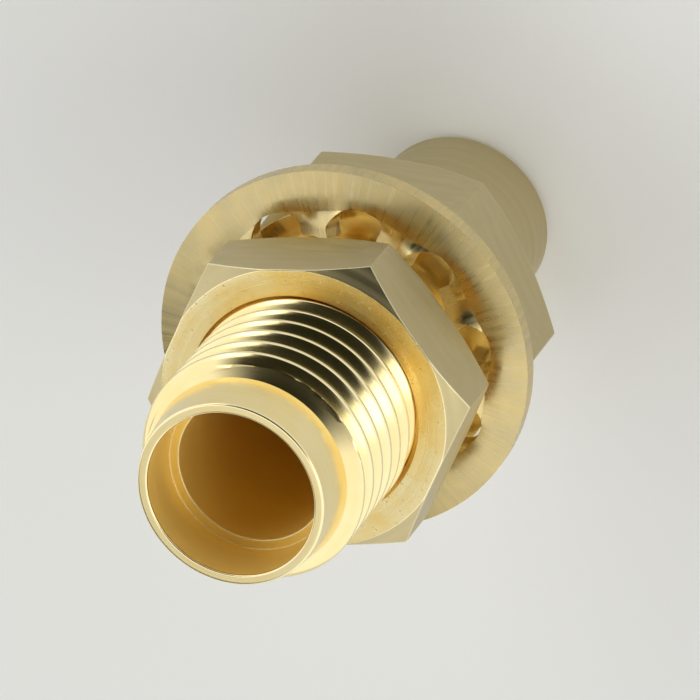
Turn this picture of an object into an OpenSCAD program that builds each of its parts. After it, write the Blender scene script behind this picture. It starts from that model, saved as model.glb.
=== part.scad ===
// Threaded coaxial bulkhead jack: a turned connector body with a hexagon flange,
// a hexagon nut on its thread, and a loose lock washer with internal teeth.
// The part stands on the end of its rear barrel. +Z runs along the axis to the mating end.
// Millimetres.

/* [Overall] */
// Length from the end of the rear barrel to the front rim
overall_length = 18.7; // [16:0.1:26]

/* [Mating end] */
// Outside diameter of the front rim
rim_diameter = 5.18; // [5.1:0.02:5.3]
// Bore of the mating socket
socket_bore = 4.64; // [4.58:0.01:4.7]
// Depth of the mating socket, from the rim to its flat shoulder
socket_depth = 1.64; // [1.2:0.02:2.4]
// Length of the plain nose in front of the thread
nose_length = 1.0; // [0.6:0.05:1.6]

/* [Thread] */
// Outside diameter of the coupling thread
thread_diameter = 6.35; // [6.2:0.01:6.6]
// Distance from one thread to the next
thread_pitch = 0.7056; // [0.5:0.0001:0.8]

/* [Bores] */
// Bore that takes the insulator, behind the socket
insulator_bore = 4.1; // [3.9:0.01:4.3]
// Bore that takes the cable, in the rear barrel
cable_bore = 3.64; // [3:0.01:3.8]
// Depth of the cable bore, from the rear end to its shoulder
cable_depth = 4.0; // [3:0.1:8]

/* [Rear barrel] */
// Outside diameter of the rear barrel
barrel_diameter = 5.14; // [4.8:0.02:6]
// Length of the rear barrel, from its end to the flange
barrel_length = 5.35; // [4:0.05:7]
// Bevel on the outer edge of the barrel's end
barrel_bevel = 0.15; // [0.05:0.05:0.3]

/* [Flange] */
// Width of the hexagon flange across its flats
flange_across_flats = 8.08; // [7.6:0.01:9]
// Length of the hexagon flange along the axis
flange_length = 3.55; // [2.5:0.05:5]
// Slope of the chamfer on the flange's corners, from its end faces
flange_chamfer_angle = 38; // [20:1:45]

/* [Nut] */
// Width of the nut across its flats
nut_across_flats = 8.0; // [7.6:0.01:9]
// Thickness of the nut
nut_thickness = 2.25; // [1.6:0.05:3]
// Slope of the chamfers on the nut's corners, from its faces
nut_chamfer_angle = 30; // [15:1:40]
// Bevel at each end of the nut's threaded hole
nut_hole_bevel = 0.08; // [0.04:0.01:0.15]
// Turn of the nut from the flange's flats, in degrees
nut_turn = 10.6; // [0:0.1:60]
// Distance from the washer's raised teeth to the nut
nut_gap = 0.97; // [0.1:0.01:2]

/* [Lock washer] */
// Outside diameter of the washer
washer_diameter = 10.52; // [10:0.02:12]
// Thickness of the washer's sheet
washer_thickness = 0.5; // [0.3:0.02:0.7]
// Width of the washer's closed ring
washer_ring_width = 0.66; // [0.5:0.02:0.8]
// Number of teeth
tooth_count = 10; // [8:1:11]
// Width of a tooth
tooth_width = 1.1; // [0.8:0.02:1.2]
// Twist of each tooth about its own middle line, in degrees
tooth_twist = 30; // [15:1:40]
// Turn of the first tooth from the flange's corner, in degrees
tooth_turn = 20.4; // [0:0.1:36]
// Distance that the loose washer lies off the axis
washer_shift = 0.17; // [0:0.01:0.2]
// Direction in which the washer lies off the axis, in degrees
washer_shift_direction = 27.4; // [0:0.1:360]

/* [Clearances] */
// Radial clearance between the nut's hole and the thread
nut_clearance = 0.05; // [0.02:0.01:0.09]
// Least clearance between the washer's teeth and the thread
tooth_clearance = 0.045; // [0.02:0.005:0.1]
// Clearance under the washer's lower teeth
seat_clearance = 0.03; // [0.02:0.01:0.1]

/* [Hidden] */
$fn = 96;
// Depth of a sixty-degree thread with flat roots, as a share of its pitch
THREAD_DEPTH_RATIO = 0.6134;
// How far a cut runs past the surface that it opens
CUT = 0.5;
// How far each tooth reaches into the ring that carries it
tooth_root_overlap = 0.12;
GOLD = [0.85, 0.72, 0.42];
PALE_GOLD = [0.82, 0.75, 0.52];
DEEP_GOLD = [0.86, 0.68, 0.32];

thread_radius = thread_diameter / 2;
thread_root_radius = thread_radius - THREAD_DEPTH_RATIO * thread_pitch;
thread_start = overall_length - nose_length;
flange_front = barrel_length + flange_length;
socket_floor = overall_length - socket_depth;
lead_in = thread_radius - thread_root_radius;

tooth_half_height = tooth_width / 2 * sin(tooth_twist) + washer_thickness / 2 * cos(tooth_twist);
washer_middle = flange_front + seat_clearance + tooth_half_height;
washer_radius = washer_diameter / 2;
tooth_root_radius = washer_radius - washer_ring_width;
tooth_tip_radius = thread_radius + washer_shift + tooth_clearance;
tooth_reach = tooth_root_radius + tooth_root_overlap;

nut_rear = washer_middle + tooth_half_height + nut_gap;
nut_hole_radius = thread_radius + nut_clearance;

// Circumradius of a regular hexagon of the given width across flats
function corner_radius(across_flats) = across_flats / 2 / cos(30);

// A hexagon prism, corners on the X axis, its corners chamfered at both ends by cones
// that meet the end faces in a circle as wide as the flats
module chamfered_hexagon(across_flats, height, slope) {
    face_radius = across_flats / 2 + 0.02;
    reach = corner_radius(across_flats) + CUT;
    drop = (reach - face_radius) * tan(slope);
    intersection() {
        cylinder(r = corner_radius(across_flats), h = height, $fn = 6);
        rotate_extrude()
            polygon([
                [0, 0],
                [face_radius, 0],
                [reach, drop],
                [reach, height - drop],
                [face_radius, height],
                [0, height]
            ]);
    }
}

// The turned outside of the body: barrel, a core through the flange, thread and nose
module turned_outside() {
    rotate_extrude()
        polygon([
            [0, 0],
            [barrel_diameter / 2 - barrel_bevel, 0],
            [barrel_diameter / 2, barrel_bevel],
            [barrel_diameter / 2, barrel_length + CUT],
            [thread_root_radius, barrel_length + CUT],
            [thread_root_radius, flange_front + thread_pitch],
            [thread_radius, flange_front + thread_pitch + lead_in / 2],
            [thread_radius, thread_start - lead_in],
            [thread_root_radius, thread_start],
            [rim_diameter / 2, overall_length],
            [0, overall_length]
        ]);
}

module connector_body() {
    color(GOLD)
        difference() {
            union() {
                turned_outside();
                translate([0, 0, barrel_length])
                    chamfered_hexagon(flange_across_flats, flange_length, flange_chamfer_angle);
            }
            translate([0, 0, -CUT])
                cylinder(d = cable_bore, h = cable_depth + 2 * CUT);
            translate([0, 0, cable_depth])
                cylinder(d = insulator_bore, h = socket_floor - cable_depth);
            translate([0, 0, socket_floor])
                cylinder(d = socket_bore, h = socket_depth + CUT);
        }
}

// One flat tooth along +X, turned about its own middle line, clockwise edge raised
module tooth() {
    rotate([-tooth_twist, 0, 0])
        translate([tooth_tip_radius - CUT, -tooth_width / 2, -washer_thickness / 2])
            cube([tooth_reach + CUT - tooth_tip_radius, tooth_width, washer_thickness]);
}

module lock_washer() {
    color(PALE_GOLD)
        rotate([0, 0, washer_shift_direction])
        translate([washer_shift, 0, washer_middle])
        rotate([0, 0, tooth_turn - washer_shift_direction]) {
            difference() {
                union() {
                    translate([0, 0, -washer_thickness / 2])
                        difference() {
                            cylinder(r = washer_radius, h = washer_thickness);
                            translate([0, 0, -CUT])
                                cylinder(r = tooth_root_radius, h = washer_thickness + 2 * CUT);
                        }
                    for (i = [0 : tooth_count - 1])
                        rotate([0, 0, i * 360 / tooth_count])
                            tooth();
                }
                translate([0, 0, -tooth_half_height - CUT])
                    cylinder(r = tooth_tip_radius, h = 2 * tooth_half_height + 2 * CUT);
            }
        }
}

module hex_nut() {
    color(DEEP_GOLD)
        translate([0, 0, nut_rear])
            difference() {
                rotate([0, 0, nut_turn])
                    chamfered_hexagon(nut_across_flats, nut_thickness, nut_chamfer_angle);
                translate([0, 0, -CUT])
                    cylinder(r = nut_hole_radius, h = nut_thickness + 2 * CUT);
                cylinder(r1 = nut_hole_radius + nut_hole_bevel, r2 = nut_hole_radius, h = nut_hole_bevel);
                translate([0, 0, nut_thickness - nut_hole_bevel])
                    cylinder(r1 = nut_hole_radius, r2 = nut_hole_radius + nut_hole_bevel, h = nut_hole_bevel);
            }
}

connector_body();
lock_washer();
hex_nut();
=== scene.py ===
"""Dressed model of a threaded coaxial bulkhead jack, and the stage it stands on.

The threaded body, the hexagon nut and the toothed lock washer each replace their
plain solid. Lengths in the functions are metres, in the frame of the solids.
"""
import math

import bmesh
import bpy
import numpy as np
from bpy.props import FloatProperty, FloatVectorProperty, IntProperty, PointerProperty
from mathutils import Matrix, Vector


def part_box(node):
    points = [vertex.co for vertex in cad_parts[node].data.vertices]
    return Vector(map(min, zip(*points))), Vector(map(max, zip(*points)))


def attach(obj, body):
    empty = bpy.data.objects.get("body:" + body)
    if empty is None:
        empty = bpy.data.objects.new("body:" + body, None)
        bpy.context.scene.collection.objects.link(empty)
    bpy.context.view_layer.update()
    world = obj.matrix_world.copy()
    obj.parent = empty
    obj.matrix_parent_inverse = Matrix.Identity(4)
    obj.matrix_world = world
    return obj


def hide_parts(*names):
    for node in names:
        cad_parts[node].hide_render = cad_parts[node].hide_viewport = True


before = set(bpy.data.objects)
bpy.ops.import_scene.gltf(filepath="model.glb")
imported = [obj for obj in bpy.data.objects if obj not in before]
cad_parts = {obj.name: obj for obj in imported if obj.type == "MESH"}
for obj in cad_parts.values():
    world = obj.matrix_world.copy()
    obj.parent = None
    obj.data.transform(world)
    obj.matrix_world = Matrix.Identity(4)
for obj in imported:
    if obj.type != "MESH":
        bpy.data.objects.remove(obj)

bl_info = {
    "name": "Threaded coaxial jack",
    "version": (1, 0, 0),
    "blender": (4, 5, 0),
    "location": "3D View > Sidebar > Coaxial jack",
    "description": "Builds the dressed body, nut and lock washer of a bulkhead jack, and their stage",
    "category": "Add Mesh",
}

MM = 0.001
BODY_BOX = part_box("connector_body")
NUT_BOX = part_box("hex_nut")
WASHER_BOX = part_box("lock_washer")
# Angle from one corner of a hexagon to the next
PHI = math.pi / 3
# Depth of the thread and half the width of its crest, as shares of its pitch
THREAD_DEPTH = 0.6134
HALF_CREST = 1 / 11
# Lengths of the chamfers at the thread's front and rear end, as shares of its depth
FRONT_CHAMFER = 0.35
REAR_CHAMFER = 0.5
# Width of the broken edge at the middle of a hexagon's flat
FLAT_EDGE = 0.03 * MM
# Corners of a hexagon's face lie this far outside its half width
FACE_RISE = 0.02 * MM


# ---------------------------------------------------------------- properties


class BodySizes(bpy.types.PropertyGroup):
    """Sizes of the turned body."""

    barrel_radius: FloatProperty(
        name="Barrel radius", description="Outside radius of the rear barrel",
        default=2.57 * MM, unit="LENGTH", precision=5,
    )
    barrel_bevel: FloatProperty(
        name="Barrel bevel", description="Bevel on the barrel's end",
        default=0.15 * MM, unit="LENGTH", precision=5,
    )
    flange_rear: FloatProperty(
        name="Flange rear", description="Height of the flange's rear face",
        default=5.35 * MM, unit="LENGTH", precision=5,
    )
    flange_front: FloatProperty(
        name="Flange front", description="Height of the flange's front face",
        default=8.9 * MM, unit="LENGTH", precision=5,
    )
    flange_half_width: FloatProperty(
        name="Flange half width", description="Half the width across the flange's flats",
        default=4.04 * MM, unit="LENGTH", precision=5,
    )
    flange_slope: FloatProperty(
        name="Flange slope", description="Slope of the flange's corner chamfers",
        default=math.radians(38), subtype="ANGLE",
    )
    rim_radius: FloatProperty(
        name="Rim radius", description="Outside radius of the front rim",
        default=2.59 * MM, unit="LENGTH", precision=5,
    )
    socket_radius: FloatProperty(
        name="Socket radius", description="Radius of the mating socket",
        default=2.32 * MM, unit="LENGTH", precision=5,
    )
    socket_depth: FloatProperty(
        name="Socket depth", description="Depth of the mating socket",
        default=1.64 * MM, unit="LENGTH", precision=5,
    )
    insulator_radius: FloatProperty(
        name="Insulator bore radius", description="Radius of the bore behind the socket",
        default=2.05 * MM, unit="LENGTH", precision=5,
    )
    cable_radius: FloatProperty(
        name="Cable bore radius", description="Radius of the bore in the rear barrel",
        default=1.82 * MM, unit="LENGTH", precision=5,
    )
    cable_depth: FloatProperty(
        name="Cable bore depth", description="Depth of the bore in the rear barrel",
        default=4.0 * MM, unit="LENGTH", precision=5,
    )
    nose_length: FloatProperty(
        name="Nose length", description="Plain nose in front of the thread",
        default=1.35 * MM, unit="LENGTH", precision=5,
    )


class ThreadSizes(bpy.types.PropertyGroup):
    """Sizes of the thread that the body and the nut share."""

    radius: FloatProperty(
        name="Crest radius", description="Radius over the crests",
        default=3.175 * MM, unit="LENGTH", precision=5,
    )
    pitch: FloatProperty(
        name="Pitch", description="Distance from one thread to the next",
        default=0.7056 * MM, unit="LENGTH", precision=7,
    )
    start_turn: FloatProperty(
        name="Start", description="Where the thread starts, in turns",
        default=0.6134,
    )
    nut_play: FloatProperty(
        name="Nut play", description="Gap between the nut's thread and the body's",
        default=0.045 * MM, unit="LENGTH", precision=5,
    )
    nut_crest_radius: FloatProperty(
        name="Nut crest radius", description="Radius inside the nut's thread",
        default=2.82 * MM, unit="LENGTH", precision=5,
    )


class NutSizes(bpy.types.PropertyGroup):
    """Sizes of the hexagon nut."""

    half_width: FloatProperty(
        name="Half width", description="Half the width across the nut's flats",
        default=4.0 * MM, unit="LENGTH", precision=5,
    )
    turn: FloatProperty(
        name="Turn", description="Turn of the nut's corner from the X axis",
        default=math.radians(10.6), subtype="ANGLE",
    )
    slope: FloatProperty(
        name="Slope", description="Slope of the corner chamfers",
        default=math.radians(30), subtype="ANGLE",
    )
    mouth_radius: FloatProperty(
        name="Mouth radius", description="Radius of the hole at each face",
        default=3.262 * MM, unit="LENGTH", precision=5,
    )


class WasherSizes(bpy.types.PropertyGroup):
    """Sizes of the toothed lock washer."""

    thickness: FloatProperty(
        name="Thickness", description="Thickness of the sheet",
        default=0.5 * MM, unit="LENGTH", precision=5,
    )
    ring_width: FloatProperty(
        name="Ring width", description="Width of the closed ring",
        default=0.95 * MM, unit="LENGTH", precision=5,
    )
    fillet: FloatProperty(
        name="Root fillet", description="Radius between a tooth and the ring",
        default=0.5 * MM, unit="LENGTH", precision=5,
    )
    dish: FloatProperty(
        name="Dish", description="Slope of the ring's faces",
        default=math.radians(9), subtype="ANGLE",
    )
    tooth_tip: FloatProperty(
        name="Tooth tip", description="Radius at the teeth's tips",
        default=3.41 * MM, unit="LENGTH", precision=5,
    )
    tooth_width: FloatProperty(
        name="Tooth width", description="Width of a tooth",
        default=1.1 * MM, unit="LENGTH", precision=5,
    )
    teeth: IntProperty(
        name="Teeth", description="Number of teeth",
        default=10, min=3,
    )
    twist: FloatProperty(
        name="Twist", description="Twist of each tooth about its own middle line",
        default=math.radians(30), subtype="ANGLE",
    )
    turn: FloatProperty(
        name="Turn", description="Turn of the first tooth from the X axis",
        default=math.radians(20.4), subtype="ANGLE",
    )
    shift: FloatProperty(
        name="Shift", description="Distance of the washer's centre from the axis",
        default=0.17 * MM, unit="LENGTH", precision=5,
    )
    shift_turn: FloatProperty(
        name="Shift direction", description="Direction of the shift",
        default=math.radians(27.4), subtype="ANGLE",
    )


class Finish(bpy.types.PropertyGroup):
    """Colours and roughness of the gold plating. Three colours paint light: a darker gold for shade on the
    flats, a deeper orange for bounce light in the bores and a paler gold for highlights on edges.
    """

    pale_gold: FloatVectorProperty(
        name="Pale gold", description="Colour of the clean plating",
        subtype="COLOR", size=4, default=(0.93, 0.80, 0.45, 1), min=0, max=1,
    )
    deep_gold: FloatVectorProperty(
        name="Deep gold", description="Colour of the thinner, warmer plating",
        subtype="COLOR", size=4, default=(0.91, 0.68, 0.26, 1), min=0, max=1,
    )
    # Darker gold for the flange and nut flats, the barrel and the washer: painted shade standing in for the
    # dim room that these faces reflect.
    reflection_shade_gold: FloatVectorProperty(
        name="Reflection shade gold", description="Colour of the flats, barrel and washer, darkened to paint the dim room they reflect",
        subtype="COLOR", size=4, default=(0.55, 0.465, 0.26, 1), min=0, max=1,
    )
    # Deeper orange gold for the bores: painted bounce light, standing in for the colour that light takes
    # between gold walls.
    bounce_light_gold: FloatVectorProperty(
        name="Bounce light gold", description="Colour of the bores, deepened to paint light bounced between gold walls",
        subtype="COLOR", size=4, default=(0.98, 0.72, 0.20, 1), min=0, max=1,
    )
    # Paler gold that rounded edges and thread crests turn towards: a painted edge highlight.
    edge_highlight_gold: FloatVectorProperty(
        name="Edge highlight gold", description="Colour of the painted highlight on rounded edges and thread crests",
        subtype="COLOR", size=4, default=(0.96, 0.87, 0.58, 1), min=0, max=1,
    )


class StageSettings(bpy.types.PropertyGroup):
    """Floor, light and camera."""

    floor_colour: FloatVectorProperty(
        name="Floor", description="Colour of the floor",
        subtype="COLOR", size=4, default=(0.96, 0.96, 0.96, 1), min=0, max=1,
    )
    sky_colour: FloatVectorProperty(
        name="Sky", description="Colour of the soft light all round",
        subtype="COLOR", size=4, default=(1.15, 1.15, 1.13, 1), min=0, max=2,
    )
    dark_colour: FloatVectorProperty(
        name="Dark side", description="Colour of the unlit part of the room",
        subtype="COLOR", size=4, default=(0.015, 0.016, 0.008, 1), min=0, max=1,
    )
    shade_colour: FloatVectorProperty(
        name="Shade", description="Colour of the shaded part of the room behind",
        subtype="COLOR", size=4, default=(0.12, 0.12, 0.07, 1), min=0, max=1,
    )
    box_colour: FloatVectorProperty(
        name="Soft boxes", description="Colour of the two soft boxes",
        subtype="COLOR", size=4, default=(2.4, 2.4, 2.1, 1), min=0, max=4,
    )
    lens: FloatProperty(
        name="Lens", description="Focal length in millimetres",
        default=385.71,
    )
    lean: FloatProperty(
        name="Lean", description="Angle from the line of sight to the part's axis",
        default=math.radians(31.35), subtype="ANGLE",
    )
    roll: FloatProperty(
        name="Roll", description="Roll of the part's axis in the frame",
        default=math.radians(130.16), subtype="ANGLE",
    )
    side: FloatProperty(
        name="Side", description="Side of the part that the camera sees",
        default=math.radians(-62.6), subtype="ANGLE",
    )
    rim_place: FloatVectorProperty(
        name="Rim place", description="Front rim's centre from the camera: right, down and ahead",
        size=3, default=(-3.117 * MM, 3.766 * MM, 195.0 * MM), unit="LENGTH", precision=6,
    )


# ---------------------------------------------------------------- shapes


def columns(corner):
    """Angles of one closed round: every 2 degrees, and four more at each side of each
    hexagon corner, so that the rounded corner has its own points. The last angle is
    the first plus a whole turn."""
    even = np.arange(0, 60, 2.0)
    near = np.array([0.13, 0.26, 0.39, 0.6])
    one = np.concatenate([even, near, 60 - near])
    angles = np.sort((one[None, :] + 60 * np.arange(6)[:, None]).ravel())
    return np.radians(np.append(angles, angles[0] + 360)) + corner


def hexagon_radius(theta, half_width, corner, rounding):
    """Distance from the axis to a hexagon with rounded corners. Along a flat it is the
    half width over the cosine of the angle from the flat's middle. Within a corner it is
    where the ray meets a circle of the rounding radius that touches both flats."""
    off = np.abs((theta - corner + PHI / 2) % PHI - PHI / 2)
    centre = (half_width - rounding) / math.cos(PHI / 2)
    touch = PHI / 2 - math.atan((half_width - rounding) * math.tan(PHI / 2) / half_width)
    flat = half_width / np.cos(PHI / 2 - off)
    inside = np.clip(rounding**2 - (centre * np.sin(off)) ** 2, 0, None)
    return np.where(off < touch, centre * np.cos(off) + np.sqrt(inside), flat)


def thread_radius(theta, z, sizes):
    """Radius of the right-hand thread at an angle and a height. The distance along the
    axis from the nearest crest, less half the crest's flat, times the tangent of sixty
    degrees, is the depth; a hyperbola rounds it into the crest and into the root."""
    pitch = sizes.pitch
    phase = z / pitch - theta / (2 * math.pi) - sizes.start_turn
    away = np.abs(phase - np.round(phase)) * pitch
    depth, soft, hollow = THREAD_DEPTH * pitch, 0.06 * MM, 0.07 * MM
    fall = (away - HALF_CREST * pitch) * math.tan(math.pi / 3)
    fall = 0.5 * (fall + np.sqrt(fall**2 + soft**2))
    fall = depth - 0.5 * ((depth - fall) + np.sqrt((depth - fall) ** 2 + hollow**2))
    return sizes.radius - fall


def thread_steps(steps=(0.045, 0.06, 0.075, 0.1, 0.2, 0.31, 0.38, 0.42, 0.46)):
    """Places along one pitch, closest where the crest and the root bend."""
    side = np.array(steps)
    return np.concatenate([-side[::-1], [0.0], side, [0.5]])


def helix_heights(theta, low, high, sizes):
    """Heights of the rows that follow the thread: each climbs one pitch in a turn, and
    is held between the two ends, so that the first and last rows are level rings."""
    pitch, lead = sizes.pitch, theta / (2 * math.pi) + sizes.start_turn
    first = math.floor(low / pitch - lead.max()) - 1
    last = math.ceil(high / pitch - lead.min()) + 1
    t = (np.arange(first, last + 1)[:, None] + thread_steps()[None, :]).ravel()
    z = np.clip(pitch * (t[:, None] + lead[None, :]), low, high)
    moving = ((z > low) & (z < high)).any(axis=1)
    keep = moving | np.roll(moving, 1) | np.roll(moving, -1)
    return z[keep]


def rounded_rows(points, radii, segments, closed=False):
    """Rows of a profile whose corners are rounded. points is a list of (radius, height)
    arrays, one value per column. Each inner corner becomes a circular arc that touches
    both of its sides, with a support row beyond each end of the arc; the arc shrinks
    where a side is short. Returns the rows and a second array that is 1 on the arcs,
    where the paler gold of the painted edge highlight goes."""
    p = np.array([np.broadcast_arrays(a, b) for a, b in points])
    rows, wear = [], []
    count = len(p)
    for k in range(count):
        e = radii[k]
        if e <= 0 or (not closed and k in (0, count - 1)):
            rows.append(p[k])
            wear.append(0.0)
            continue
        back, ahead = p[k - 1] - p[k], p[(k + 1) % count] - p[k]
        long_back = np.maximum(np.hypot(*back), 1e-12)
        long_ahead = np.maximum(np.hypot(*ahead), 1e-12)
        a, b = back / long_back, ahead / long_ahead
        between = np.arccos(np.clip((a * b).sum(axis=0), -1, 1))
        between = np.clip(between, 1e-3, math.pi - 1e-3)
        touch = np.minimum(e / np.tan(between / 2), 0.3 * np.minimum(long_back, long_ahead))
        radius = touch * np.tan(between / 2)
        middle = (a + b) / np.maximum(np.hypot(*(a + b)), 1e-9)
        centre = p[k] + middle * radius / np.sin(between / 2)
        start, end = p[k] + a * touch, p[k] + b * touch
        swing = math.pi - between
        rows.append(p[k] + a * touch * 1.6)
        wear.append(0.0)
        for s in np.linspace(0, 1, segments + 1):
            one, two = np.sin((1 - s) * swing) / np.sin(swing), np.sin(s * swing) / np.sin(swing)
            arc = centre + one * (start - centre) + two * (end - centre)
            line = (1 - s) * start + s * end
            rows.append(np.where(swing < 0.02, line, arc))
            wear.append(1.0)
        rows.append(p[k] + b * touch * 1.6)
        wear.append(0.0)
    return np.array(rows), np.array(wear)


def lathe_points(theta, rows):
    """Turns rows of (radius, height) into points: x and y are the radius times the
    cosine and sine of the column's angle."""
    radius, height = rows[:, 0], rows[:, 1]
    return np.stack([radius * np.cos(theta), radius * np.sin(theta), height], axis=-1)


def grid_faces(row_count, column_count, wrap_rows=False):
    """Four corners of every cell of a grid, row by row."""
    r = np.arange(row_count if wrap_rows else row_count - 1)[:, None]
    c = np.arange(column_count - 1)[None, :]
    near, far = r * column_count, (r + 1) % row_count * column_count
    return np.stack([near + c, near + c + 1, far + c + 1, far + c], axis=-1).reshape(-1, 4)


def make_piece(name, points, faces, materials, face_material, wear, sharp=32):
    """Puts points and four-cornered faces into a mesh, merges the points that meet at
    seams and poles, marks edges sharper than the given angle, and links the object."""
    mesh = bpy.data.meshes.new(name)
    mesh.vertices.add(len(points))
    mesh.vertices.foreach_set("co", np.ascontiguousarray(points, dtype=np.float32).ravel())
    mesh.loops.add(faces.size)
    mesh.loops.foreach_set("vertex_index", faces.astype(np.int32).ravel())
    mesh.polygons.add(len(faces))
    mesh.polygons.foreach_set("loop_start", np.arange(0, faces.size, 4, dtype=np.int32))
    mesh.polygons.foreach_set("material_index", face_material.astype(np.int32))
    # Each point's share of the painted edge highlight, kept as a point attribute.
    mesh.attributes.new("wear", "FLOAT", "POINT").data.foreach_set("value", wear.astype(np.float32))
    mesh.update(calc_edges=True)
    mesh.validate()
    work = bmesh.new()
    work.from_mesh(mesh)
    bmesh.ops.remove_doubles(work, verts=work.verts, dist=1.5e-6)
    open_edges = sum(1 for edge in work.edges if not edge.is_manifold)
    volume = work.calc_volume(signed=True)
    work.to_mesh(mesh)
    work.free()
    if open_edges:
        raise RuntimeError(f"{name} has {open_edges} open edges")
    if volume <= 0:
        raise RuntimeError(f"{name} is inside out")
    for material in materials:
        mesh.materials.append(material)
    mesh.shade_smooth()
    mesh.set_sharp_from_angle(angle=math.radians(sharp))
    piece = bpy.data.objects.new(name, mesh)
    bpy.context.scene.collection.objects.link(piece)
    triangles = sum(len(face.vertices) - 2 for face in mesh.polygons)
    print(name, len(mesh.vertices), "points", triangles, "triangles")
    return piece


# ---------------------------------------------------------------- materials


def new_group(name, inputs, outputs):
    """A shader node group with named inputs (name, socket type, default) and outputs."""
    group = bpy.data.node_groups.new(name, "ShaderNodeTree")
    for label, kind, default in inputs:
        socket = group.interface.new_socket(label, in_out="INPUT", socket_type=kind)
        if default is not None:
            socket.default_value = default
    for label, kind in outputs:
        group.interface.new_socket(label, in_out="OUTPUT", socket_type=kind)
    group.nodes.new("NodeGroupInput")
    group.nodes.new("NodeGroupOutput")
    return group


def node(tree, kind, label="", **settings):
    """Adds a node and sets its plain settings."""
    made = tree.nodes.new(kind)
    made.label = label
    for key, value in settings.items():
        setattr(made, key, value)
    return made


def maths(tree, operation, a, b=None, c=None, clamp=False):
    """A Math node whose inputs are numbers or sockets. Returns its output."""
    made = node(tree, "ShaderNodeMath", operation=operation, use_clamp=clamp)
    for index, value in enumerate((a, b, c)):
        if value is None:
            continue
        if isinstance(value, (int, float)):
            made.inputs[index].default_value = value
        else:
            tree.links.new(value, made.inputs[index])
    return made.outputs[0]


def noise(tree, vector, scale, detail=2.0, rough=0.5, dimensions="3D"):
    """A Noise Texture reading a vector. Returns its factor."""
    made = node(tree, "ShaderNodeTexNoise", noise_dimensions=dimensions)
    made.inputs["Scale"].default_value = scale
    made.inputs["Detail"].default_value = detail
    made.inputs["Roughness"].default_value = rough
    tree.links.new(vector, made.inputs["Vector"])
    return made.outputs["Fac"]


def spread(tree, value, low, high, to_low=0.0, to_high=1.0):
    """A Map Range node from one range to another, held at its ends."""
    made = node(tree, "ShaderNodeMapRange")
    tree.links.new(value, made.inputs["Value"])
    for label, number in (("From Min", low), ("From Max", high), ("To Min", to_low), ("To Max", to_high)):
        made.inputs[label].default_value = number
    return made.outputs["Result"]


def group_ends(group):
    """A group's input and output nodes."""
    ends = {n.bl_idname: n for n in group.nodes}
    return ends["NodeGroupInput"], ends["NodeGroupOutput"]


def turning_marks_group():
    """Rings that a lathe tool leaves: noise that changes along the radius and the axis
    and hardly at all round the part."""
    group = new_group(
        "Turning marks",
        [("Position", "NodeSocketVector", None), ("Fineness", "NodeSocketFloat", 1.0)],
        [("Height", "NodeSocketFloat"), ("Tone", "NodeSocketFloat")],
    )
    start, end = group_ends(group)
    apart = node(group, "ShaderNodeSeparateXYZ")
    group.links.new(start.outputs["Position"], apart.inputs[0])
    x, y, z = apart.outputs
    square = maths(group, "ADD", maths(group, "MULTIPLY", x, x), maths(group, "MULTIPLY", y, y))
    radius = maths(group, "SQRT", square)
    along = node(group, "ShaderNodeCombineXYZ")
    group.links.new(maths(group, "MULTIPLY", radius, start.outputs["Fineness"]), along.inputs[0])
    group.links.new(maths(group, "MULTIPLY", z, start.outputs["Fineness"]), along.inputs[1])
    group.links.new(maths(group, "MULTIPLY", maths(group, "ADD", x, y), 0.02), along.inputs[2])
    fine = noise(group, along.outputs[0], 30000, 3.0, 0.6)
    broad = noise(group, along.outputs[0], 5000, 2.0, 0.5)
    height = maths(group, "ADD", maths(group, "MULTIPLY", fine, 0.6), maths(group, "MULTIPLY", broad, 0.4))
    group.links.new(height, end.inputs["Height"])
    group.links.new(spread(group, broad, 0.35, 0.65), end.inputs["Tone"])
    return group


def plating_grain_group():
    """Fine grain of the plating, with a scatter of small shallow pits."""
    group = new_group(
        "Plating grain",
        [("Position", "NodeSocketVector", None), ("Pit share", "NodeSocketFloat", 0.3)],
        [("Height", "NodeSocketFloat"), ("Pits", "NodeSocketFloat"), ("Cloud", "NodeSocketFloat")],
    )
    start, end = group_ends(group)
    place = start.outputs["Position"]
    grain = noise(group, place, 26000, 3.0, 0.65)
    cloud = noise(group, place, 900, 3.0, 0.55)
    cells = node(group, "ShaderNodeTexVoronoi", feature="F1")
    cells.inputs["Scale"].default_value = 9000
    group.links.new(place, cells.inputs["Vector"])
    apart = node(group, "ShaderNodeSeparateColor")
    group.links.new(cells.outputs["Color"], apart.inputs[0])
    chosen = maths(group, "LESS_THAN", apart.outputs[0], start.outputs["Pit share"])
    size = spread(group, apart.outputs[1], 0.0, 1.0, 0.12, 0.42)
    inside = maths(group, "SUBTRACT", size, cells.outputs["Distance"])
    pit = maths(group, "MULTIPLY", maths(group, "MULTIPLY", inside, 6.0, clamp=True), chosen)
    bumps = maths(group, "MULTIPLY", grain, 0.5)
    height = maths(group, "SUBTRACT", bumps, maths(group, "MULTIPLY", pit, 0.9))
    group.links.new(height, end.inputs["Height"])
    group.links.new(pit, end.inputs["Pits"])
    group.links.new(spread(group, cloud, 0.35, 0.68), end.inputs["Cloud"])
    return group


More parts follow.
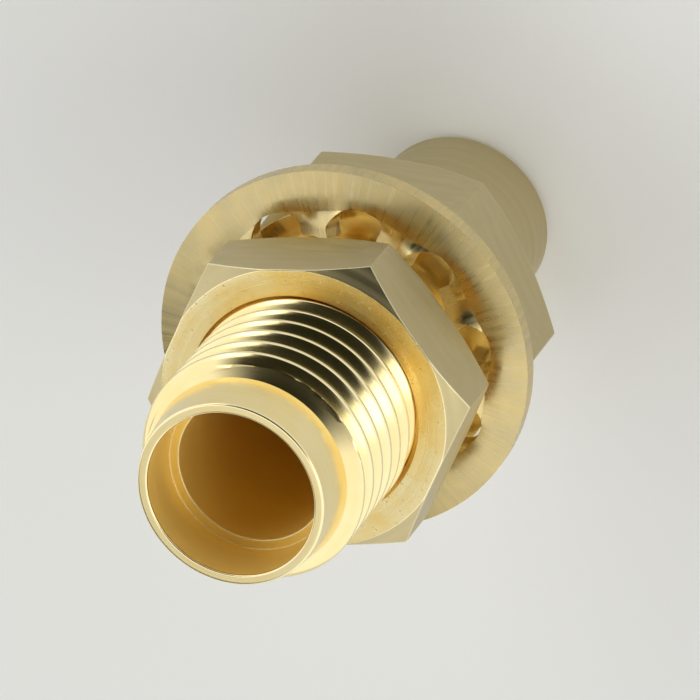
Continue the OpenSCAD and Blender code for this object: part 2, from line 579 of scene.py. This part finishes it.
def brushed_lines_group():
    """Straight or fanned scratches: noise drawn out along one direction of a vector."""
    group = new_group(
        "Brushed lines",
        [(label, "NodeSocketFloat", 0.0) for label in ("Across", "Along", "Other")],
        [("Height", "NodeSocketFloat"), ("Tone", "NodeSocketFloat")],
    )
    start, end = group_ends(group)
    mix = node(group, "ShaderNodeCombineXYZ")
    group.links.new(start.outputs["Across"], mix.inputs[0])
    group.links.new(maths(group, "MULTIPLY", start.outputs["Along"], 0.03), mix.inputs[1])
    group.links.new(maths(group, "MULTIPLY", start.outputs["Other"], 0.03), mix.inputs[2])
    fine = noise(group, mix.outputs[0], 32000, 3.0, 0.7)
    broad = noise(group, mix.outputs[0], 7000, 2.0, 0.5)
    height = maths(group, "ADD", maths(group, "MULTIPLY", fine, 0.65), maths(group, "MULTIPLY", broad, 0.35))
    group.links.new(height, end.inputs["Height"])
    group.links.new(spread(group, broad, 0.36, 0.64), end.inputs["Tone"])
    return group


def place_group(tree, name, **links):
    """Puts a shared group into a material and joins its inputs to numbers or sockets."""
    made = node(tree, "ShaderNodeGroup", name)
    made.node_tree = bpy.data.node_groups[name]
    for label, value in links.items():
        socket = made.inputs[label.replace("_", " ")]
        if isinstance(value, (int, float)):
            socket.default_value = value
        else:
            tree.links.new(value, socket)
    return made


def mix_colour(tree, factor, a, b):
    """Mixes two colours, each a socket or four numbers."""
    made = node(tree, "ShaderNodeMix", data_type="RGBA")
    tree.links.new(factor, made.inputs[0])
    for index, value in ((6, a), (7, b)):
        if isinstance(value, bpy.types.NodeSocket):
            tree.links.new(value, made.inputs[index])
        else:
            made.inputs[index].default_value = value
    return made.outputs[2]


def gold(name, pattern, rough, mark_depth, grain_depth, pit_share, fineness=1.0, lean_warm=0.35,
         centre=None, clean="pale_gold", warmer="deep_gold", metal=1.0):
    """Gold plating. pattern is turned, fanned or grain: which marks lie under it.
    clean and warmer name the two colours that it drifts between. Roughness rises with
    the marks and in the pits. On rounded edges and thread crests the colour turns towards
    the paler gold of a painted highlight, and the roughness falls."""
    finish = bpy.context.scene.jack_finish
    material = bpy.data.materials.new(name)
    material.use_nodes = True
    tree = material.node_tree
    shader = tree.nodes["Principled BSDF"]
    shader.inputs["Metallic"].default_value = metal
    place = node(tree, "ShaderNodeTexCoord").outputs["Object"]
    if centre is not None:
        moved = node(tree, "ShaderNodeMapping")
        moved.inputs["Location"].default_value = (-centre[0], -centre[1], -centre[2])
        tree.links.new(place, moved.inputs["Vector"])
        place = moved.outputs["Vector"]
    grain = place_group(tree, "Plating grain", Position=place, Pit_share=pit_share)
    if pattern == "fanned":
        apart = node(tree, "ShaderNodeSeparateXYZ")
        tree.links.new(place, apart.inputs[0])
        angle = maths(tree, "ARCTAN2", apart.outputs[1], apart.outputs[0])
        across = maths(tree, "MULTIPLY", angle, 0.0045)
        length = node(tree, "ShaderNodeVectorMath", operation="LENGTH")
        tree.links.new(place, length.inputs[0])
        out, height = length.outputs["Value"], apart.outputs[2]
        marks = place_group(tree, "Brushed lines", Across=across, Along=out, Other=height)
    else:
        marks = place_group(tree, "Turning marks", Position=place, Fineness=fineness)
    wear = node(tree, "ShaderNodeAttribute", attribute_name="wear").outputs["Fac"]
    cloud = maths(tree, "MULTIPLY", grain.outputs["Cloud"], lean_warm)
    warm = maths(tree, "ADD", cloud, maths(tree, "MULTIPLY", marks.outputs["Tone"], 0.25), clamp=True)
    colour = mix_colour(tree, warm, tuple(getattr(finish, clean)), tuple(getattr(finish, warmer)))
    # Rounded edges and thread crests turn towards a paler gold: a painted highlight.
    colour = mix_colour(tree, maths(tree, "MULTIPLY", wear, 0.6), colour, tuple(finish.edge_highlight_gold))
    tree.links.new(colour, shader.inputs["Base Color"])
    level = maths(tree, "ADD", maths(tree, "MULTIPLY", marks.outputs["Tone"], rough * 0.35), rough * 0.8)
    level = maths(tree, "ADD", level, maths(tree, "MULTIPLY", grain.outputs["Pits"], 0.2))
    level = maths(tree, "MULTIPLY", level, spread(tree, wear, 0.0, 1.0, 1.0, 0.7))
    tree.links.new(level, shader.inputs["Roughness"])
    lower = node(tree, "ShaderNodeBump")
    lower.inputs["Strength"].default_value = 1.0
    lower.inputs["Distance"].default_value = mark_depth
    tree.links.new(marks.outputs["Height"], lower.inputs["Height"])
    upper = node(tree, "ShaderNodeBump")
    upper.inputs["Strength"].default_value = 1.0
    upper.inputs["Distance"].default_value = grain_depth
    tree.links.new(grain.outputs["Height"], upper.inputs["Height"])
    tree.links.new(lower.outputs["Normal"], upper.inputs["Normal"])
    tree.links.new(upper.outputs["Normal"], shader.inputs["Normal"])
    return material


# ---------------------------------------------------------------- operators


class JACK_OT_finishes(bpy.types.Operator):
    """Make the node groups that the gold finishes share"""

    bl_idname = "jack.finishes"
    bl_label = "Finishes"

    def execute(self, context):
        turning_marks_group()
        plating_grain_group()
        brushed_lines_group()
        return {"FINISHED"}


class JACK_OT_body(bpy.types.Operator):
    """Build the threaded body with its flange, barrel and bores"""

    bl_idname = "jack.body"
    bl_label = "Threaded body"

    def execute(self, context):
        s, thread = context.scene.jack_body, context.scene.jack_thread
        top = BODY_BOX[1].z
        theta = columns(0.0)
        hexagon = hexagon_radius(theta, s.flange_half_width, 0.0, 0.07 * MM)
        face = np.minimum(hexagon - FLAT_EDGE, s.flange_half_width + FACE_RISE)
        drop = (hexagon - face) * math.tan(s.flange_slope)
        root = thread.radius - THREAD_DEPTH * thread.pitch
        low, high = s.flange_front + thread.pitch, top - s.nose_length
        shoulder = top - s.socket_depth
        points = [
            (root, high),
            (s.rim_radius, top),
            (s.socket_radius, top),
            (s.socket_radius, shoulder),
            (s.insulator_radius, shoulder),
            (s.insulator_radius, s.cable_depth),
            (s.cable_radius, s.cable_depth),
            (s.cable_radius, 0.0),
            (s.barrel_radius - s.barrel_bevel, 0.0),
            (s.barrel_radius, s.barrel_bevel),
            (s.barrel_radius, s.flange_rear),
            (face, s.flange_rear),
            (hexagon, s.flange_rear + drop),
            (hexagon, s.flange_front - drop),
            (face, s.flange_front),
            (root, s.flange_front),
            (root, low),
        ]
        points = [(a + 0 * theta, b + 0 * theta) for a, b in points]
        # One rounding for each point above, in millimetres
        radii = [0, 0.05, 0.035, 0.02, 0.03, 0, 0.02, 0.04, 0.03, 0.04, 0.1, 0.025, 0.03, 0.03, 0.025, 0.1, 0]
        rows, wear = rounded_rows(points, [e * MM for e in radii], 3)
        z = helix_heights(theta, low, high, thread)
        rise = root + np.minimum((z - low) / REAR_CHAMFER, (high - z) / FRONT_CHAMFER)
        radius = np.minimum(thread_radius(theta, z, thread), rise)
        # 1 near the thread's crests, where the painted edge highlight goes.
        crest_highlight = np.clip((radius - thread.radius + 0.05 * MM) / (0.04 * MM), 0, 1)
        helix = np.stack([radius, z], axis=1)
        rows = np.concatenate([helix, rows])
        wear = np.concatenate([crest_highlight, np.repeat(wear[:, None], len(theta), axis=1)])
        grid = lathe_points(theta, rows)
        faces = grid_faces(len(rows), len(theta), wrap_rows=True)
        middle = grid.reshape(-1, 3)[faces].mean(axis=1)
        out = np.hypot(middle[:, 0], middle[:, 1])
        height, edge = middle[:, 2], 0.1 * MM
        flange = (height > s.flange_rear + 0.2 * edge) & (height < s.flange_front - 0.2 * edge)
        zone = np.zeros(len(faces), int)
        zone[: (len(helix) - 1) * (len(theta) - 1)] = 1
        zone[flange & (out > 3.3 * MM)] = 2
        zone[(out < s.socket_radius + edge / 10) & (height < top - edge) & (height > edge)] = 3
        # Flats and barrel take the darker gold of painted shade.
        reflection_shade = {"clean": "reflection_shade_gold", "warmer": "reflection_shade_gold"}
        # The bores take the deeper orange gold of painted bounce light.
        warm = {"clean": "bounce_light_gold", "warmer": "bounce_light_gold", "metal": 0.35}
        materials = [
            gold("Gold turned", "turned", 0.22, 1.5e-6, 0.3e-6, 0.0),
            gold("Gold thread", "turned", 0.17, 0.6e-6, 0.3e-6, 0.0, 0.6),
            gold("Gold flange flats", "grain", 0.42, 0.5e-6, 0.8e-6, 0.05, 0.7, **reflection_shade),
            gold("Gold bore", "turned", 0.4, 1.2e-6, 0.4e-6, 0.0, **warm),
            gold("Gold barrel", "turned", 0.42, 0.6e-6, 0.5e-6, 0.02, **reflection_shade),
        ]
        zone[(height < s.flange_rear + 0.2 * edge) & (out > s.cable_radius + edge)] = 4
        piece = make_piece("threaded_body", grid.reshape(-1, 3), faces, materials, zone, wear.ravel())
        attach(piece, "connector")
        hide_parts("connector_body")
        return {"FINISHED"}


class JACK_OT_nut(bpy.types.Operator):
    """Build the hexagon nut with its threaded hole"""

    bl_idname = "jack.nut"
    bl_label = "Hexagon nut"

    def execute(self, context):
        s, thread = context.scene.jack_nut, context.scene.jack_thread
        low, high = NUT_BOX[0].z, NUT_BOX[1].z
        theta = columns(s.turn)
        hexagon = hexagon_radius(theta, s.half_width, s.turn, 0.06 * MM)
        face = np.minimum(hexagon - FLAT_EDGE, s.half_width + FACE_RISE)
        drop = (hexagon - face) * math.tan(s.slope)
        points = [
            (s.mouth_radius, low),
            (face, low),
            (hexagon, low + drop),
            (hexagon, high - drop),
            (face, high),
            (s.mouth_radius, high),
        ]
        points = [(a + 0 * theta, b + 0 * theta) for a, b in points]
        rows, wear = rounded_rows(points, [e * MM for e in (0, 0.03, 0.03, 0.03, 0.03, 0)], 3)
        z = helix_heights(theta, low, high, thread)[::-1]
        groove = np.maximum(thread_radius(theta, z, thread) + thread.nut_play, thread.nut_crest_radius)
        mouth = s.mouth_radius - np.minimum(z - low, high - z)
        radius = np.maximum(groove, mouth)
        helix = np.stack([radius, z], axis=1)
        # 1 near the nut thread's inner crests, where the painted edge highlight goes.
        crest_highlight = np.clip(1 - (radius - thread.nut_crest_radius) / (0.03 * MM), 0, 1)
        rows = np.concatenate([rows, helix])
        wear = np.concatenate([np.repeat(wear[:, None], len(theta), axis=1), crest_highlight])
        grid = lathe_points(theta, rows)
        faces = grid_faces(len(rows), len(theta), wrap_rows=True)
        middle = grid.reshape(-1, 3)[faces].mean(axis=1)
        zone = np.zeros(len(faces), int)
        level = (middle[:, 2] > low + 0.01 * MM) & (middle[:, 2] < high - 0.01 * MM)
        zone[level & (np.hypot(middle[:, 0], middle[:, 1]) > 3.6 * MM)] = 1
        zone[(len(rows) - len(helix)) * (len(theta) - 1):] = 2
        # The nut's flats take the darker gold of painted shade.
        reflection_shade = {"clean": "reflection_shade_gold", "warmer": "reflection_shade_gold"}
        materials = [
            gold("Gold nut face", "turned", 0.26, 0.8e-6, 2.4e-6, 0.4, 1.0, 0.9),
            gold("Gold nut flats", "grain", 0.42, 0.5e-6, 0.8e-6, 0.05, 0.7, **reflection_shade),
            gold("Gold nut thread", "turned", 0.26, 1.0e-6, 0.6e-6, 0.0),
        ]
        piece = make_piece("threaded_nut", grid.reshape(-1, 3), faces, materials, zone, wear.ravel())
        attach(piece, "nut")
        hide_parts("hex_nut")
        return {"FINISHED"}


class JACK_OT_washer(bpy.types.Operator):
    """Build the lock washer with its twisted inner teeth"""

    bl_idname = "jack.washer"
    bl_label = "Lock washer"

    def execute(self, context):
        s = context.scene.jack_washer
        outer = (WASHER_BOX[1].x - WASHER_BOX[0].x) / 2
        level = (WASHER_BOX[0].z + WASHER_BOX[1].z) / 2
        flat, faces = washer_sheet(s, outer)
        top, bottom = twist_teeth(flat, s, 1), twist_teeth(flat, s, -1)
        count = len(flat)
        edges = np.concatenate([faces[:, [0, 1]], faces[:, [1, 2]], faces[:, [2, 3]], faces[:, [3, 0]]])
        key = np.sort(edges, axis=1)
        _, first, uses = np.unique(key, axis=0, return_index=True, return_counts=True)
        rim = edges[first[uses == 1]]
        wall = np.stack([rim[:, 1], rim[:, 0], rim[:, 0] + count, rim[:, 1] + count], axis=1)
        all_faces = np.concatenate([faces, faces[:, ::-1] + count, wall])
        points = np.concatenate([top, bottom])
        points[:, 0] += s.shift * math.cos(s.shift_turn)
        points[:, 1] += s.shift * math.sin(s.shift_turn)
        points[:, 2] += level
        zone = np.zeros(len(all_faces), int)
        centre = (s.shift * math.cos(s.shift_turn), s.shift * math.sin(s.shift_turn), level)
        # The washer drifts from the darker gold of painted shade towards the deep gold.
        materials = [
            gold(
                "Gold washer", "fanned", 0.3, 1.0e-6, 0.5e-6, 0.0,
                1.0, 0.3, centre, "reflection_shade_gold", "deep_gold",
            )
        ]
        wear = np.zeros(len(points))
        piece = make_piece("toothed_washer", points, all_faces, materials, zone, wear, sharp=40)
        bevel = piece.modifiers.new("Soft edges", "BEVEL")
        bevel.width = 0.045 * MM
        bevel.segments = 3
        bevel.limit_method = "ANGLE"
        bevel.angle_limit = math.radians(50)
        bevel.harden_normals = False
        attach(piece, "washer")
        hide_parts("lock_washer")
        return {"FINISHED"}


def washer_sheet(s, outer):
    """Flat middle sheet of the washer, one tooth's share after another. A tooth's side
    runs straight from its tip and then along a fillet that touches the ring's inner
    circle; its rows are level lines between the two sides. The ring's rows run from
    that root line, and from the inner circle beside it, out to the outer circle."""
    inner = outer - s.ring_width
    half, fillet = s.tooth_width / 2, s.fillet
    fillet_y = half + fillet
    fillet_x = math.sqrt((inner - fillet) ** 2 - fillet_y**2)
    stop = math.pi / 2 + math.atan2(fillet_y, fillet_x)
    swing = np.linspace(0, stop, 9)
    tip_x = math.sqrt(s.tooth_tip**2 - half**2)
    side_x = np.concatenate([np.linspace(tip_x, fillet_x, 12)[:-1], fillet_x + fillet * np.sin(swing)])
    side_y = np.concatenate([np.full(11, half), fillet_y - fillet * np.cos(swing)])
    across = np.linspace(-1, 1, 17)
    y = side_y[:, None] * across[None, :]
    reach = np.linspace(1, 0, len(side_x))[:, None] ** 2
    x = side_x[:, None] + reach * (np.sqrt(s.tooth_tip**2 - (half * across) ** 2) - tip_x)[None, :]
    tooth = np.stack([x, y], axis=-1)
    edge = math.atan2(side_y[-1], side_x[-1])
    share = math.pi / s.teeth
    gap = np.linspace(edge, share, 7)[1:]
    gap_points = inner * np.stack([np.cos(gap), np.sin(gap)], axis=-1)
    mirrored = gap_points[::-1] * np.array([1, -1])
    line = np.concatenate([mirrored, tooth[-1], gap_points])
    angle = np.arctan2(line[:, 1], line[:, 0])
    far = outer * np.stack([np.cos(angle), np.sin(angle)], axis=-1)
    step = np.linspace(0, 1, 6)[:, None, None]
    ring = line[None] * (1 - step) + far[None] * step
    tooth_faces = grid_faces(*tooth.shape[:2])[:, ::-1]
    ring_faces = grid_faces(*ring.shape[:2])[:, ::-1]
    cell = np.concatenate([tooth.reshape(-1, 2), ring.reshape(-1, 2)])
    cell_faces = np.concatenate([tooth_faces, ring_faces + tooth.shape[0] * tooth.shape[1]])
    turns = 2 * share * np.arange(s.teeth)
    cos, sin = np.cos(turns)[:, None], np.sin(turns)[:, None]
    points = np.stack(
        [
            cell[None, :, 0] * cos - cell[None, :, 1] * sin,
            cell[None, :, 0] * sin + cell[None, :, 1] * cos,
        ],
        axis=-1,
    ).reshape(-1, 2)
    faces = (cell_faces[None] + len(cell) * np.arange(s.teeth)[:, None, None]).reshape(-1, 4)
    keys = np.round(points / 1e-7).astype(np.int64)
    _, first, where = np.unique(keys, axis=0, return_index=True, return_inverse=True)
    return points[first], where.reshape(-1)[faces]


def twist_teeth(flat, s, side):
    """Places one face of the sheet. In the frame of the nearest tooth a point at x, y
    and half the thickness is turned about the tooth's middle line, by an angle that
    grows smoothly from nothing at the root to the full twist at the neck's end. The
    ring falls outward by the dish's slope, from the radius where it is level."""
    pitch = 2 * math.pi / s.teeth
    angle = np.arctan2(flat[:, 1], flat[:, 0])
    tooth = np.round(angle / pitch) * pitch
    x = flat[:, 0] * np.cos(tooth) + flat[:, 1] * np.sin(tooth)
    y = flat[:, 1] * np.cos(tooth) - flat[:, 0] * np.sin(tooth)
    z = np.full(len(x), side * s.thickness / 2)
    root, neck, reach = 4.25 * MM, 0.55 * MM, 0.9 * MM
    grow = np.clip((root - x) / neck, 0, 1)
    grow = grow * grow * (3 - 2 * grow) * (np.abs(y) < reach)
    twist = -s.twist * grow
    y, z = y * np.cos(twist) - z * np.sin(twist), y * np.sin(twist) + z * np.cos(twist)
    level, inmost = 4.7 * MM, -0.2 * MM
    z = z - np.clip(np.hypot(flat[:, 0], flat[:, 1]) - level, inmost, None) * math.tan(s.dish)
    tooth = tooth + s.turn
    along = x * np.cos(tooth) - y * np.sin(tooth)
    across = x * np.sin(tooth) + y * np.cos(tooth)
    return np.stack([along, across, z], axis=-1)


def soft_room(sky_colour, zones):
    """The world: an even sky with soft-edged round zones. Each zone is (start, toward,
    turn, inner, outer, colour): it lies the turn in degrees away from the start towards
    the other direction, full within the inner angle and gone beyond the outer one."""
    world = bpy.data.worlds.new("Soft room")
    world.use_nodes = True
    tree = world.node_tree
    direction = node(tree, "ShaderNodeTexCoord").outputs["Generated"]
    colour = tuple(sky_colour)
    for start, toward, turn, inner, outer, tint in zones:
        aim = start * math.cos(math.radians(turn)) + toward * math.sin(math.radians(turn))
        facing = node(tree, "ShaderNodeVectorMath", operation="DOT_PRODUCT")
        tree.links.new(direction, facing.inputs[0])
        facing.inputs[1].default_value = aim
        gone, full = math.cos(math.radians(outer)), math.cos(math.radians(inner))
        share = spread(tree, facing.outputs["Value"], gone, full)
        colour = mix_colour(tree, share, colour, tuple(tint))
    seen_directly = node(tree, "ShaderNodeLightPath").outputs["Is Camera Ray"]
    colour = mix_colour(tree, seen_directly, colour, (1, 1, 1, 1))
    tree.links.new(colour, tree.nodes["Background"].inputs["Color"])
    return world


class JACK_OT_stage(bpy.types.Operator):
    """Set the floor, the soft light and the camera"""

    bl_idname = "jack.stage"
    bl_label = "Stage"

    def execute(self, context):
        scene, s = context.scene, context.scene.jack_stage
        mesh = bpy.data.meshes.new("floor")
        wide = 2.0
        corners = [(-wide, -wide, 0), (wide, -wide, 0), (wide, wide, 0), (-wide, wide, 0)]
        mesh.from_pydata(corners, [], [(0, 1, 2, 3)])
        floor = bpy.data.objects.new("floor", mesh)
        scene.collection.objects.link(floor)
        paint = bpy.data.materials.new("Floor paint")
        paint.use_nodes = True
        shader = paint.node_tree.nodes["Principled BSDF"]
        shader.inputs["Base Color"].default_value = s.floor_colour
        shader.inputs["Roughness"].default_value = 0.9
        shader.inputs["Specular IOR Level"].default_value = 0.0
        mesh.materials.append(paint)

        lean, roll, side = s.lean, s.roll, s.side
        ahead = Vector((math.sin(lean) * math.cos(roll), math.sin(lean) * math.sin(roll), -math.cos(lean)))
        level = Vector((math.sin(roll), -math.cos(roll), 0))
        seen = ahead.cross(level)
        in_world = Matrix(
            (
                (math.sin(side), -math.cos(side), 0),
                (math.cos(side), math.sin(side), 0),
                (0, 0, 1),
            )
        ).transposed()
        right, down, forward = (in_world @ Vector((level[i], seen[i], ahead[i])) for i in range(3))
        rim = Vector((0, 0, BODY_BOX[1].z))
        where = rim - (right * s.rim_place[0] + down * s.rim_place[1] + forward * s.rim_place[2])
        camera = bpy.data.cameras.new("camera")
        camera.lens, camera.sensor_width = s.lens, 36
        camera.clip_start, camera.clip_end = 0.01, 10
        eye = bpy.data.objects.new("camera", camera)
        scene.collection.objects.link(eye)
        eye.matrix_world = Matrix(
            (
                (right.x, -down.x, -forward.x, where.x),
                (right.y, -down.y, -forward.y, where.y),
                (right.z, -down.z, -forward.z, where.z),
                (0, 0, 0, 1),
            )
        )
        scene.camera = eye

        beside = Vector((math.sin(side), -math.cos(side), 0))
        behind = Vector((-math.cos(side), -math.sin(side), 0))
        zones = (
            (behind, Vector((0, 0, 1)), 34, 16, 26, s.shade_colour),
            (-forward, -beside, 12, 31, 45, s.dark_colour),
            (-forward, beside, 36, 9, 14, s.box_colour),
            (-forward, -beside, 56, 8, 13, s.box_colour),
        )
        scene.world = soft_room(s.sky_colour, zones)
        scene.cycles.max_bounces = 16
        scene.cycles.glossy_bounces = 12
        scene.view_settings.view_transform = "Standard"
        return {"FINISHED"}


class JACK_PT_panel(bpy.types.Panel):
    """Lists the steps and the sizes of the jack"""

    bl_label = "Coaxial jack"
    bl_idname = "JACK_PT_panel"
    bl_space_type = "VIEW_3D"
    bl_region_type = "UI"
    bl_category = "Coaxial jack"

    def draw(self, context):
        for operator in OPERATORS:
            self.layout.operator(operator.bl_idname)
        for name in GROUPS:
            box = self.layout.box()
            settings = getattr(context.scene, name)
            for key in settings.__annotations__:
                box.prop(settings, key)


OPERATORS = (JACK_OT_finishes, JACK_OT_body, JACK_OT_nut, JACK_OT_washer, JACK_OT_stage)
GROUPS = {
    "jack_body": BodySizes,
    "jack_thread": ThreadSizes,
    "jack_nut": NutSizes,
    "jack_washer": WasherSizes,
    "jack_finish": Finish,
    "jack_stage": StageSettings,
}


def register():
    for group in GROUPS.values():
        bpy.utils.register_class(group)
    for name, group in GROUPS.items():
        setattr(bpy.types.Scene, name, PointerProperty(type=group))
    for operator in OPERATORS:
        bpy.utils.register_class(operator)
    bpy.utils.register_class(JACK_PT_panel)


def unregister():
    bpy.utils.unregister_class(JACK_PT_panel)
    for operator in reversed(OPERATORS):
        bpy.utils.unregister_class(operator)
    for name in GROUPS:
        delattr(bpy.types.Scene, name)
    for group in reversed(GROUPS.values()):
        bpy.utils.unregister_class(group)


def main():
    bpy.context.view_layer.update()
    register()
    for operator in OPERATORS:
        area, step = operator.bl_idname.split(".")
        getattr(getattr(bpy.ops, area), step)()


if __name__ == "__main__":
    main()
